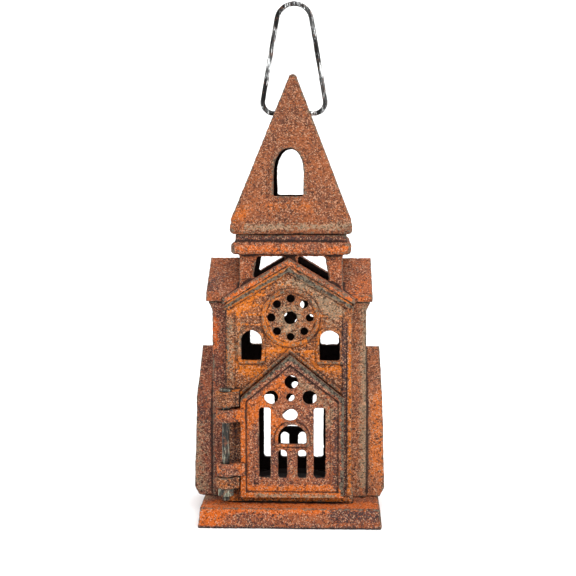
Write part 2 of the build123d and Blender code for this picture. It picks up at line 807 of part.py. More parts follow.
# ================================================================ screws between roof and spire
screw_seat = lower_band[1]
screw_end = cove_top + spire_floor + spire_boss_height / 2
with BuildPart() as spire_screws:
    with BuildSketch(Plane.XY.offset(screw_seat)):
        with GridLocations(2 * spire_screw_place, 2 * spire_screw_place, 2, 2):
            Circle(screw_radius)
    extrude(amount=screw_end - screw_seat)
    with BuildSketch(Plane.XY.offset(screw_seat - screw_head_height)):
        with GridLocations(2 * spire_screw_place, 2 * spire_screw_place, 2, 2):
            Circle(screw_head_radius)
    extrude(amount=screw_head_height)
finish(spire_screws, "spire_screws")
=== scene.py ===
# %% [markdown]
# # A church-shaped candle lantern in rusted cast iron
# This lesson dresses a finished CAD model. The CAD pieces have the right sizes and joints, but their
# edges are knife sharp and their faces are perfectly flat. A sand casting that stood outdoors is neither,
# so each casting is given a new skin: softened edges, lumps, sand grain, pits, and then rust.
# The frame comes first, because every later piece takes its place from it.

# %% Load the CAD frame
import json
from itertools import product
from math import cos, pi, radians, sin

import bmesh
import bpy
import numpy as np
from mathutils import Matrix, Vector


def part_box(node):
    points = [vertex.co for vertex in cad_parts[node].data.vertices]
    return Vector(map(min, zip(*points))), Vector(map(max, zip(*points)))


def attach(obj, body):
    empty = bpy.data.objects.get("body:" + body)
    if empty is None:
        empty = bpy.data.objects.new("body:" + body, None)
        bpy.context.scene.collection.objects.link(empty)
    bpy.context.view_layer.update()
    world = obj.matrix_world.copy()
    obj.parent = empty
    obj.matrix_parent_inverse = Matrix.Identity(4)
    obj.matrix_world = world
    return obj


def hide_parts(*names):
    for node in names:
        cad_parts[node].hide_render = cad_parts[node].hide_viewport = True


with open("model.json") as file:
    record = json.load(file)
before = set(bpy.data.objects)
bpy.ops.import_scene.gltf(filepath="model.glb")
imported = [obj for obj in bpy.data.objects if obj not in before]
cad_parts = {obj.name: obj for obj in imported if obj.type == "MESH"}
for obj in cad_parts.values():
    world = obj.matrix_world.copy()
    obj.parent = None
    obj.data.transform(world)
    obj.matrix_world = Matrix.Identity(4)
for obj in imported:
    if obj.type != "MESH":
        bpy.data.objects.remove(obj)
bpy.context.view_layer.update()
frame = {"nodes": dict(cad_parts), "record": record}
MM = 0.001
print("nodes:", sorted(frame["nodes"]))

# %% [markdown]
# ## Camera
# The lantern is seen from a little above and from a little to its right, from about seven times its own
# width away. A long lens at that distance keeps the upright edges nearly parallel, as a product picture
# has them. The camera looks slightly past the lantern on the left, which is why it turns by two degrees.

# %% Camera
SENSOR_MM = 36.0
LENS_MM = 71.9
CAMERA_PLACE = (0.0228, -0.7028, 0.2043)
LOOK_DOWN = 5.61
LOOK_LEFT = 2.09
camera_data = bpy.data.cameras.new("camera")
camera_data.sensor_width = SENSOR_MM
camera_data.lens = LENS_MM
camera = bpy.data.objects.new("camera", camera_data)
camera.location = CAMERA_PLACE
camera.rotation_euler = (radians(90 - LOOK_DOWN), 0, radians(LOOK_LEFT))
bpy.context.scene.collection.objects.link(camera)
bpy.context.scene.camera = camera
print("camera at", tuple(round(v, 3) for v in camera.location))

# %% [markdown]
# ## Studio
# A white sweep, one large soft light above and in front, and a weaker one at each side. The sweep is a
# single sheet that curves up behind the lantern, so there is no horizon line. Large lights keep the
# shadows in the tracery soft, which is what lets the relief of a rough surface be read.


# %% Sweep and lights
def material_named(name):
    """A new material with nodes, its Principled node and its tree."""
    material = bpy.data.materials.new(name)
    material.use_nodes = True
    tree = material.node_tree
    return material, tree, tree.nodes["Principled BSDF"]


def sweep():
    """Floor and backdrop in one curved sheet."""
    half_width, front, turn, radius, height = 3.0, -2.5, 1.4, 0.9, 3.2
    steps = 24
    profile = [(front, 0.0), (turn, 0.0)]
    for step in range(1, steps + 1):
        angle = pi / 2 * step / steps
        profile.append((turn + radius * sin(angle), radius * (1 - cos(angle))))
    profile.append((turn + radius, height))
    vertices = [(side * half_width, y, z) for y, z in profile for side in (-1, 1)]
    faces = [(2 * i, 2 * i + 1, 2 * i + 3, 2 * i + 2) for i in range(len(profile) - 1)]
    mesh = bpy.data.meshes.new("sweep")
    mesh.from_pydata(vertices, [], faces)
    mesh.polygons.foreach_set("use_smooth", [True] * len(faces))
    floor = bpy.data.objects.new("sweep", mesh)
    bpy.context.scene.collection.objects.link(floor)
    white, tree, shader = material_named("sweep_paper")
    shader.inputs["Base Color"].default_value = (0.93, 0.93, 0.93, 1)
    shader.inputs["Roughness"].default_value = 0.9
    mesh.materials.append(white)


def area_light(name, place, aim, size, power):
    """A square soft light of size metres and power watts at place, turned to look at aim."""
    data = bpy.data.lights.new(name, "AREA")
    data.shape = "SQUARE"
    data.size = size
    data.energy = power
    light = bpy.data.objects.new(name, data)
    light.location = place
    light.rotation_euler = (Vector(aim) - Vector(place)).to_track_quat("-Z", "Y").to_euler()
    bpy.context.scene.collection.objects.link(light)


sweep()
LANTERN_MIDDLE = (0, 0, 0.15)
BACKDROP_MIDDLE = (0, 1.9, 0.4)
area_light("key", (0.25, -1.1, 1.25), LANTERN_MIDDLE, size=1.2, power=22)
area_light("right_fill", (1.3, -0.6, 0.5), LANTERN_MIDDLE, size=1.0, power=9)
area_light("left_fill", (-1.3, -0.9, 0.6), LANTERN_MIDDLE, size=1.0, power=5.5)
area_light("backdrop_light", (0, 1.3, 2.2), BACKDROP_MIDDLE, size=1.6, power=30)
ROOM_LIGHT = 0.75
world = bpy.data.worlds.new("studio")
world.use_nodes = True
room = world.node_tree.nodes["Background"].inputs
room["Color"].default_value = (1, 1, 1, 1)
room["Strength"].default_value = ROOM_LIGHT
bpy.context.scene.world = world
bpy.context.scene.view_settings.view_transform = "Standard"
print("studio ready")

# %% [markdown]
# ## Noise for mesh work
# The relief of a casting is worked out vertex by vertex, so the noise has to run on whole arrays. This is
# plain value noise: a fixed scramble of whole-number corners gives each corner of a grid a value, and the
# values are blended smoothly in between. It is the same on every run, because nothing in it is random.


# %% Noise
CORNER_PRIMES = (73856093, 19349663, 83492791)
SEED_PRIME = 2654435761
SCRAMBLE = 1274126177


def corner_values(where, seed):
    """A fixed random value from -1 to 1 for each whole-number corner of a grid."""
    key = seed * SEED_PRIME
    for axis, prime in enumerate(CORNER_PRIMES):
        key = key ^ where[:, axis] * prime
    key = (key ^ (key >> 13)) * SCRAMBLE & 0x7FFFFFFF
    return ((key ^ (key >> 16)) & 0xFFFF) / 32767.5 - 1


def noise(points, size, seed):
    """Smooth values from -1 to 1 at the points, which change over about one size (metres)."""
    scaled = points / size
    cell = np.floor(scaled).astype(np.int64)
    part = scaled - cell
    part = part * part * (3 - 2 * part)
    total = np.zeros(len(points))
    for corner in product((0, 1), repeat=3):
        share = np.prod(np.where(corner, part, 1 - part), axis=1)
        total += corner_values(cell + np.array(corner), seed) * share
    return total


def layered(points, size, seed):
    """Two sizes of noise added up, the second half as large and a bit over half as strong."""
    fade = 0.55
    total = noise(points, size, seed) + fade * noise(points, size / 2, seed + 1)
    return total / (1 + fade)


def ramp(values, low, high):
    """0 below low, 1 above high, and a smooth step between."""
    t = np.clip((values - low) / (high - low), 0, 1)
    return t * t * (3 - 2 * t)


sample = noise(np.random.default_rng(1).random((2000, 3)), 0.1, 3)
print("noise spread", round(float(sample.std()), 2))

# %% [markdown]
# ## From CAD solid to rough casting
# A voxel remesh turns the CAD copy into an even net of small quads. Relaxing that net by moving each
# vertex towards its neighbours rounds every edge by about half a millimetre, as sand does. Then the skin
# is pushed in and out along its normals. The result is clipped to the CAD node's own box, so that
# the roughness never makes the lantern larger.
# The same net also says where the surface is ridged or hollow: a vertex that moves far when the net is
# relaxed sat on an edge. That is kept as point attributes for the rust, which wears off ridges and
# gathers in corners, and for painted shade in the corners and a painted highlight along the edges.


# %% Mesh tools
def read_points(mesh):
    """Vertex places, vertex normals and edges of a mesh as arrays."""
    count = len(mesh.vertices)
    places = np.empty(count * 3, np.float32)
    mesh.vertices.foreach_get("co", places)
    normals = np.empty(count * 3, np.float32)
    mesh.vertex_normals.foreach_get("vector", normals)
    edges = np.empty(len(mesh.edges) * 2, np.int32)
    mesh.edges.foreach_get("vertices", edges)
    return places.reshape(-1, 3).astype(float), normals.reshape(-1, 3).astype(float), edges.reshape(-1, 2)


def write_points(mesh, places):
    """Puts the vertices back and smooths the shading."""
    mesh.vertices.foreach_set("co", places.astype(np.float32).ravel())
    mesh.polygons.foreach_set("use_smooth", np.ones(len(mesh.polygons), bool))
    mesh.update()


def relaxed(places, edges, steps):
    """The places after each vertex has moved halfway to its neighbours' mean, steps times."""
    count = len(places)
    first, second = edges[:, 0], edges[:, 1]
    degree = np.bincount(edges.ravel(), minlength=count)[:, None]
    for _ in range(steps):
        total = np.empty_like(places)
        for axis in range(3):
            total[:, axis] = np.bincount(first, weights=places[second, axis], minlength=count)
            total[:, axis] += np.bincount(second, weights=places[first, axis], minlength=count)
        places = (places + total / degree) / 2
    return places


def keep(mesh, name, values):
    """Stores one number per vertex as an attribute that materials can read."""
    attribute = mesh.attributes.new(name, "FLOAT", "POINT")
    attribute.data.foreach_set("value", values.astype(np.float32))


def skin(node, voxel):
    """A closed, even mesh around a copy of a CAD node."""
    mesh = frame["nodes"][node].data.copy()
    net = bmesh.new()
    net.from_mesh(mesh)
    bmesh.ops.remove_doubles(net, verts=net.verts, dist=MM / 500)
    net.to_mesh(mesh)
    net.free()
    mesh.materials.clear()
    source = bpy.data.objects.new(node + "_source", mesh)
    bpy.context.scene.collection.objects.link(source)
    remesh = source.modifiers.new("skin", "REMESH")
    remesh.mode = "VOXEL"
    remesh.voxel_size = voxel
    ready = source.evaluated_get(bpy.context.evaluated_depsgraph_get())
    result = bpy.data.meshes.new_from_object(ready)
    bpy.data.objects.remove(source)
    return result


print("tools: read_points, write_points, relaxed, keep, skin")

# %% [markdown]
# ## The sand's relief
# A sand mould leaves four sizes of relief: long waves where the mould gave, lumps, the grain of the sand,
# and pits where a grain fell out or a bubble sat. Each is a layer of noise of its own size. One function
# then does a whole casting, because every piece goes through the same steps and only its numbers differ.


# %% Sand relief and casting
SKIN_SETBACK = 0.10
RIM_STEPS = 4
FORM_STEPS = 24


def sand_relief(places, seed, strength):
    """Depth of the rough skin in metres: long waves, lumps, grain and pits, mostly inwards."""
    waves = 0.12 * noise(places, 11 * MM, seed)
    lumps = 0.13 * layered(places, 3.6 * MM, seed + 10)
    grain = 0.15 * noise(places, 1.3 * MM, seed + 20)
    pits = -0.36 * ramp(noise(places, 2.1 * MM, seed + 30), 0.42, 0.85)
    return MM * (strength * (waves + lumps + grain + pits) - SKIN_SETBACK)


def casting(node, material, seed, voxel, soften=3, strength=1.0, carve=None, soot_and_shade=1.0):
    """Replaces a CAD piece by one with a worked skin, and keeps its masks for wear, stains, soot and
    painted shade.
    """
    mesh = skin(node, voxel)
    places, normals, edges = read_points(mesh)
    places = relaxed(places, edges, soften)
    relief = sand_relief(places, seed, strength)
    if carve:
        relief = relief + carve(places, normals)
    low, high = (np.array(corner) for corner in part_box(node))
    rough = np.clip(places + normals * relief[:, None], low, high)
    write_points(mesh, rough)
    fine = relaxed(places, edges, RIM_STEPS)
    broad = relaxed(fine, edges, FORM_STEPS)
    keep(mesh, "ridge", ((places - fine) * normals).sum(1) / MM)
    keep(mesh, "bulge", ((places - broad) * normals).sum(1) / MM)
    # Candle soot and painted shade of the dark inside share this one mask.
    keep(mesh, "soot_and_shade", inside(places, normals) * soot_and_shade)
    for name, strokes in STAINS.items():
        keep(mesh, name, stain(places, strokes))
    mesh.materials.append(material)
    piece = bpy.data.objects.new(node + "_casting", mesh)
    bpy.context.scene.collection.objects.link(piece)
    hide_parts(node)
    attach(piece, body_of[node])
    print(node, "vertices", len(mesh.vertices))


body_of = {n: body for body, members in frame["record"]["behaviour"]["bodies"].items() for n in members}
print("bodies:", sorted(set(body_of.values())))

# %% [markdown]
# ## Rust as node groups
# Weathered iron is not one colour. Seen close, it is dark scale, brown rust, orange bloom and pale dust,
# each in grains of about a millimetre, and each gathers in its own places. The grains could be one
# picture, but a picture would need unwrapping. Noise in the object's own space needs nothing and never
# stretches. The colours are mixed in a node group, because every casting uses them with other values.


# %% Node helpers
def paint(hexadecimal):
    """A colour written as on a paint chart, in the linear values that shaders use."""
    channels = [int(hexadecimal[i : i + 2], 16) / 255 for i in (0, 2, 4)]
    return (*[c / 12.92 if c <= 0.04045 else ((c + 0.055) / 1.055) ** 2.4 for c in channels], 1)


def new_group(name, inputs, outputs):
    """A shader node group with named sockets. Kinds are Color or Float."""
    group = bpy.data.node_groups.new(name, "ShaderNodeTree")
    for socket, (kind, value) in inputs.items():
        made = group.interface.new_socket(socket, in_out="INPUT", socket_type="NodeSocket" + kind)
        made.default_value = value
    for socket, kind in outputs.items():
        group.interface.new_socket(socket, in_out="OUTPUT", socket_type="NodeSocket" + kind)
    return group, group.nodes.new("NodeGroupInput").outputs, group.nodes.new("NodeGroupOutput").inputs


def joined(tree, source, target):
    """Links source to target, or sets target to a plain value."""
    if isinstance(source, bpy.types.NodeSocket):
        tree.links.new(source, target)
    else:
        target.default_value = source


def maths(tree, operation, a, b):
    """A Math node's value."""
    step = tree.nodes.new("ShaderNodeMath")
    step.operation = operation
    joined(tree, a, step.inputs[0])
    joined(tree, b, step.inputs[1])
    return step.outputs[0]


def stepped(tree, value, low, high):
    """A value squeezed to 0 below low and 1 above high."""
    step = tree.nodes.new("ShaderNodeMapRange")
    step.interpolation_type = "SMOOTHSTEP"
    joined(tree, value, step.inputs["Value"])
    joined(tree, low, step.inputs["From Min"])
    joined(tree, high, step.inputs["From Max"])
    return step.outputs["Result"]


def mixed(tree, mask, a, b):
    """Colour a turned into colour b where mask is 1."""
    mix = tree.nodes.new("ShaderNodeMix")
    mix.data_type = "RGBA"
    joined(tree, mask, mix.inputs["Factor"])
    joined(tree, a, mix.inputs[6])
    joined(tree, b, mix.inputs[7])
    return mix.outputs[2]


def mask_named(tree, name):
    """A point attribute that was stored on the casting."""
    read = tree.nodes.new("ShaderNodeAttribute")
    read.attribute_name = name
    return read.outputs["Fac"]


def grain(tree, size, detail, roughness, shift=0.0, stretch=(1, 1, 1)):
    """Noise in the object's own space with grains of about size metres."""
    space = tree.nodes.new("ShaderNodeTexCoord")
    move = tree.nodes.new("ShaderNodeMapping")
    move.inputs["Location"].default_value = (shift, 2 * shift, -shift)
    move.inputs["Scale"].default_value = stretch
    tree.links.new(space.outputs["Object"], move.inputs["Vector"])
    texture = tree.nodes.new("ShaderNodeTexNoise")
    tree.links.new(move.outputs["Vector"], texture.inputs["Vector"])
    texture.inputs["Scale"].default_value = 1 / size
    texture.inputs["Detail"].default_value = detail
    texture.inputs["Roughness"].default_value = roughness
    return texture.outputs["Fac"]


print("rust brown is", [round(c, 3) for c in paint("8a4a2e")])

# %% [markdown]
# ## The rust group
# Weathered cast iron is a crowd of grains, and each grain has its own tone: black scale, brown and orange
# rust, pale dust. Voronoi cells with ragged outlines give every grain a random number, and the tones are
# dealt out by that number. Larger patches and the stain masks only change how often each tone is dealt,
# so every patch keeps its grains, and the surface stays lively at every distance.


# %% Rust group
SMALL_GRAIN = 0.55 * MM
LARGE_GRAIN = 1.1 * MM
STREAK = 5 * MM
PATCH = 18 * MM


def cells(tree, size, shift):
    """A random number for each grain of about size metres; the grains have ragged outlines."""
    space = tree.nodes.new("ShaderNodeTexCoord")
    wobble = tree.nodes.new("ShaderNodeTexNoise")
    wobble.inputs["Scale"].default_value = 0.8 / size
    reach = 1.6 * size
    tree.links.new(space.outputs["Object"], wobble.inputs["Vector"])
    bent = tree.nodes.new("ShaderNodeVectorMath")
    bent.operation = "MULTIPLY_ADD"
    tree.links.new(wobble.outputs["Color"], bent.inputs[0])
    bent.inputs[1].default_value = (reach, reach, reach)
    tree.links.new(space.outputs["Object"], bent.inputs[2])
    moved = tree.nodes.new("ShaderNodeVectorMath")
    tree.links.new(bent.outputs["Vector"], moved.inputs[0])
    moved.inputs[1].default_value = (shift, -shift, 2 * shift)
    grains = tree.nodes.new("ShaderNodeTexVoronoi")
    grains.inputs["Scale"].default_value = 1 / size
    tree.links.new(moved.outputs["Vector"], grains.inputs["Vector"])
    parts = tree.nodes.new("ShaderNodeSeparateColor")
    tree.links.new(grains.outputs["Color"], parts.inputs["Color"])
    return parts.outputs["Red"]


def centred(tree, value, strength):
    """A value from 0 to 1 moved to swing around zero, times strength."""
    return maths(tree, "MULTIPLY", maths(tree, "SUBTRACT", value, 0.5), strength)


def rust_group():
    """Colour, roughness and height of rusted cast iron."""
    group, given, result = new_group(
        "rust_layers",
        {
            "Rust": ("Color", paint("7d4a2c")),
            "Brown": ("Color", paint("5e3829")),
            "Bright": ("Color", paint("a4531c")),
            "Ash": ("Color", paint("7f6a54")),
            "Shade": ("Color", paint("46302c")),
            "Dark": ("Color", paint("1c0f0b")),
            "Pale": ("Color", paint("ba987c")),
            "Speckle": ("Float", 1.0),
        },
        {"Color": "Color", "Roughness": "Float", "Height": "Float"},
    )
    small = cells(group, SMALL_GRAIN, 0.3)
    large = cells(group, LARGE_GRAIN, 1.3)
    patches = grain(group, PATCH, 3, 0.6)
    streaks = grain(group, STREAK, 3, 0.65, shift=0.3)
    spread = maths(group, "ADD", centred(group, large, 0.42), centred(group, streaks, 0.8))
    tone = mixed(
        group,
        stepped(group, maths(group, "ADD", patches, centred(group, small, 0.4)), 0.36, 0.62),
        given["Brown"],
        given["Rust"],
    )
    for mask, colour in (("bloom", "Bright"), ("ash", "Ash"), ("shade", "Shade")):
        share = maths(group, "ADD", mask_named(group, mask), spread)
        tone = mixed(group, stepped(group, share, 0.24, 0.58), tone, given[colour])
    loose = stepped(group, maths(group, "ADD", small, centred(group, streaks, 0.5)), 0.66, 0.74)
    tone = mixed(group, maths(group, "MULTIPLY", loose, 0.35), tone, given["Bright"])
    for grains, edge, strength in ((small, 0.22, 0.62), (large, 0.15, 0.52)):
        share = maths(group, "ADD", grains, centred(group, patches, 0.3))
        spots = maths(group, "MULTIPLY", stepped(group, share, edge + 0.03, edge - 0.03), strength)
        tone = mixed(group, maths(group, "MULTIPLY", spots, given["Speckle"]), tone, given["Dark"])
    share = maths(group, "SUBTRACT", small, centred(group, patches, 0.25))
    dust = maths(group, "MULTIPLY", stepped(group, share, 0.83, 0.90), given["Speckle"])
    tone = mixed(group, maths(group, "MULTIPLY", dust, 0.5), tone, given["Pale"])
    joined(group, tone, result["Color"])
    joined(group, maths(group, "SUBTRACT", 1.0, maths(group, "MULTIPLY", large, 0.5)), result["Roughness"])
    joined(group, maths(group, "ADD", small, maths(group, "MULTIPLY", large, 1.4)), result["Height"])
    return group


RUST = rust_group()
print("rust group nodes", len(RUST.nodes))

# %% [markdown]
# ## Worn edges, painted shade and soot
# Where hands and weather rub a casting, the rust goes and grey-green iron shows, never as a clean band
# but as a broken mixture. A thin tan line at the very edge is partly wear and partly a painted highlight.
# In the corners dark rust gathers, and the corners are also darkened as painted shade. Given lines in
# gaps, under bands and along the foot are painted shadow lines. The edges come from the ridge and bulge
# attributes of the mesh, and the mouldings that are rubbed most from the iron mask. Inside the lantern,
# candle soot and the painted shade of the dark inside cover everything, and their mask comes from the mesh
# too.


# %% Wear, painted shade and soot groups
def wear_group():
    """Grey worn iron on ridges, thin tan edge lines of wear and painted highlight, and dark rust with
    painted shade in corners and along painted shadow lines.
    """
    group, given, result = new_group(
        "worn_edges",
        {
            "Color": ("Color", (0.5, 0.5, 0.5, 1)),
            "Iron": ("Color", paint("5d5648")),
            "Scale": ("Color", paint("22201b")),
            "Rim_wear_and_highlight": ("Color", paint("b0937a")),
            "Corner_rust_and_shade": ("Color", paint("170b08")),
            "Amount": ("Float", 1.0),
        },
        {"Color": "Color", "Worn": "Float"},
    )
    small = cells(group, 0.9 * MM, 2.3)
    chips = grain(group, 3.5 * MM, 3, 0.7, shift=0.5)
    ragged = maths(group, "ADD", centred(group, chips, 1.0), centred(group, small, 0.3))
    bulge = mask_named(group, "bulge")
    edge = stepped(group, maths(group, "ADD", bulge, ragged), 0.30, 0.42)
    moulding = stepped(group, maths(group, "ADD", mask_named(group, "iron"), ragged), 0.42, 0.60)
    edge = maths(group, "MULTIPLY", edge, given["Amount"])
    iron = maths(group, "MAXIMUM", edge, maths(group, "MULTIPLY", moulding, 0.92))
    metal = mixed(group, stepped(group, small, 0.42, 0.55), given["Scale"], given["Iron"])
    tone = mixed(group, iron, given["Color"], metal)
    # The thin tan line on every ridge is partly worn edge and partly a painted highlight where light
    # catches the rounded edge.
    line = maths(group, "ADD", mask_named(group, "ridge"), centred(group, chips, 0.35))
    rim_wear_and_highlight = maths(group, "MULTIPLY", stepped(group, line, 0.15, 0.21), 0.8)
    tone = mixed(group, rim_wear_and_highlight, tone, given["Rim_wear_and_highlight"])
    # Painted shade: concave hollows and the given shadow lines are darkened to the corner colour, together
    # with the dark rust that gathers in hollows.
    hollow = maths(group, "ADD", bulge, centred(group, chips, 0.25))
    shadow_line = stepped(group, maths(group, "ADD", mask_named(group, "shadow_line"), ragged), 0.3, 0.6)
    corner = maths(group, "MAXIMUM", stepped(group, hollow, -0.07, -0.28), shadow_line)
    corner = maths(group, "MULTIPLY", corner, 0.9)
    tone = mixed(group, corner, tone, given["Corner_rust_and_shade"])
    joined(group, tone, result["Color"])
    joined(group, iron, result["Worn"])
    return group


def soot_and_shade_group():
    """Lays soot and painted shade over a colour where the mesh says that it is inside."""
    group, given, result = new_group(
        "candle_soot_and_inner_shade",
        {"Color": ("Color", (0.5, 0.5, 0.5, 1)), "Soot_and_shade": ("Color", paint("21120d"))},
        {"Color": "Color", "Mask": "Float"},
    )
    cloud = centred(group, grain(group, 4 * MM, 3, 0.6), 0.5)
    # Painted shade: faces inside the lantern are darkened both as candle soot and as the shade of the dark
    # inside.
    mask = stepped(group, maths(group, "ADD", mask_named(group, "soot_and_shade"), cloud), 0.15, 0.7)
    joined(group, mixed(group, mask, given["Color"], given["Soot_and_shade"]), result["Color"])
    joined(group, mask, result["Mask"])
    return group


WEAR = wear_group()
SOOT_AND_SHADE = soot_and_shade_group()
print("wear nodes", len(WEAR.nodes), "soot nodes", len(SOOT_AND_SHADE.nodes))

# %% [markdown]
# ## One rust recipe, several irons
# All castings were poured from the same iron, but they did not weather alike. The spire is an even
# orange, the left side is brown, and the door is streaked with grey. So one function builds the material,
# and each casting gives it other tones.


# %% Cast iron materials
def placed_group(tree, group, **values):
    """A group node in a material, with its inputs set or linked."""
    made = tree.nodes.new("ShaderNodeGroup")
    made.node_tree = group
    for name, value in values.items():
        joined(tree, value, made.inputs[name])
    return made.outputs


def bumped(tree, shader, height, strength, distance):
    """Fine relief for light only, on top of the relief of the mesh."""
    relief = tree.nodes.new("ShaderNodeBump")
    relief.inputs["Strength"].default_value = strength
    relief.inputs["Distance"].default_value = distance
    joined(tree, height, relief.inputs["Height"])
    joined(tree, relief.outputs["Normal"], shader.inputs["Normal"])


def cast_iron(name, rust, brown, bright, wear=0.8, speckle=1.0):
    """Rusted cast iron: rust, then worn edges with painted highlight and shade, then soot with painted
    inner shade, and fine sand relief.
    """
    material, tree, shader = material_named(name)
    tones = placed_group(
        tree, RUST, Rust=paint(rust), Brown=paint(brown), Bright=paint(bright), Speckle=speckle
    )
    worn = placed_group(tree, WEAR, Color=tones["Color"], Amount=wear)
    sooted_and_shaded = placed_group(tree, SOOT_AND_SHADE, Color=worn["Color"])
    joined(tree, sooted_and_shaded["Color"], shader.inputs["Base Color"])
    rough = maths(tree, "ADD", maths(tree, "MULTIPLY", tones["Roughness"], 0.3), 0.62)
    polish = maths(tree, "MULTIPLY", worn["Worn"], 0.14)
    joined(tree, maths(tree, "SUBTRACT", rough, polish), shader.inputs["Roughness"])
    joined(tree, maths(tree, "MULTIPLY", worn["Worn"], 0.2), shader.inputs["Metallic"])
    bumped(tree, shader, tones["Height"], 0.3, 0.3 * MM)
    shader.inputs["Specular IOR Level"].default_value = 0.25
    return material


iron_of = {
    "base_plinth": cast_iron("plinth_iron", "864a2b", "683a2e", "b25314"),
    "front_facade": cast_iron("front_iron", "7e4929", "5e3a28", "b45f14"),
    "rear_facade": cast_iron("rear_iron", "7c492b", "5e3a2a", "a85a1c"),
    "left_side": cast_iron("left_side_iron", "864c34", "663e34", "b2521e"),
    "right_side": cast_iron("right_side_iron", "8e5434", "744a38", "b05c22"),
    "roof_belfry": cast_iron("roof_iron", "8c4c2c", "6e402e", "b2571c"),
    "spire": cast_iron("spire_iron", "7f4729", "663c29", "a4541c", speckle=0.9),
    "door": cast_iron("door_iron", "80482e", "603a30", "b0571a", wear=0.45),
}
print("cast irons:", len(iron_of))

# %% [markdown]
# ## Bare steel
# The hinge bolt, its nut and the wire loop are newer than the castings. They are dull steel with drawn
# streaks along their length, some bright where the zinc still holds and some dark, and rust dust has
# settled on them. One group mixes the streaks for all of them, and the materials only change the tones.


# %% Steel group and materials
def steel_group():
    """Colour and height of drawn steel with streaks along one direction."""
    group, given, result = new_group(
        "drawn_steel",
        {
            "Steel": ("Color", paint("4c4c48")),
            "Dark": ("Color", paint("1d1d1b")),
            "Bright": ("Color", paint("c4c6c2")),
            "Rust": ("Color", paint("6a3c22")),
            "Dust": ("Float", 0.3),
        },
        {"Color": "Color", "Height": "Float", "Rusty": "Float"},
    )
    broad = grain(group, 2.2 * MM, 3, 0.6, shift=0.2, stretch=(1, 1, 0.16))
    thin = grain(group, 0.7 * MM, 3, 0.7, shift=0.6, stretch=(1, 1, 0.10))
    tone = mixed(group, stepped(group, broad, 0.42, 0.56), given["Dark"], given["Steel"])
    gleam = maths(group, "ADD", thin, centred(group, broad, 0.8))
    tone = mixed(group, stepped(group, gleam, 0.57, 0.64), tone, given["Bright"])
    scratch = maths(group, "MULTIPLY", stepped(group, thin, 0.42, 0.36), 0.8)
    tone = mixed(group, scratch, tone, given["Dark"])
    dust = maths(group, "ADD", grain(group, 3 * MM, 4, 0.75, shift=0.9), given["Dust"])
    rusty = stepped(group, dust, 0.66, 0.86)
    joined(group, mixed(group, rusty, tone, given["Rust"]), result["Color"])
    joined(group, maths(group, "ADD", broad, thin), result["Height"])
    joined(group, rusty, result["Rusty"])
    return group


STEEL = steel_group()


def steel(name, base, dark, bright, dust, metal=0.8, rough=0.38):
    """Drawn steel with streaks, rust dust, and soot with painted inner shade."""
    material, tree, shader = material_named(name)
    tones = placed_group(tree, STEEL, Steel=paint(base), Dark=paint(dark), Bright=paint(bright), Dust=dust)
    sooted_and_shaded = placed_group(tree, SOOT_AND_SHADE, Color=tones["Color"])
    joined(tree, sooted_and_shaded["Color"], shader.inputs["Base Color"])
    dull = maths(tree, "MAXIMUM", tones["Rusty"], sooted_and_shaded["Mask"])
    clean = maths(tree, "SUBTRACT", 1.0, dull)
    joined(tree, maths(tree, "MULTIPLY", clean, metal), shader.inputs["Metallic"])
    joined(tree, maths(tree, "ADD", maths(tree, "MULTIPLY", dull, 0.4), rough), shader.inputs["Roughness"])
    bumped(tree, shader, tones["Height"], 0.4, 0.2 * MM)
    return material


bolt_steel = steel("bolt_steel", "2e2e29", "11110e", "90917f", 0.16, metal=0.5)
nut_steel = steel("nut_steel", "3e3d34", "171612", "94957f", 0.16, metal=0.4)
wire_steel = steel("wire_steel", "565656", "1c1c1c", "e6e8e8", 0.12, metal=0.9, rough=0.3)
pan_steel = steel("pan_steel", "54504a", "26221e", "a8a49a", 0.30, metal=0.6, rough=0.45)
inner_steel = steel("inner_steel", "4a4640", "221e1a", "8c887c", 0.36, metal=0.6, rough=0.5)
print("steels ready, streak nodes", len(STEEL.nodes))
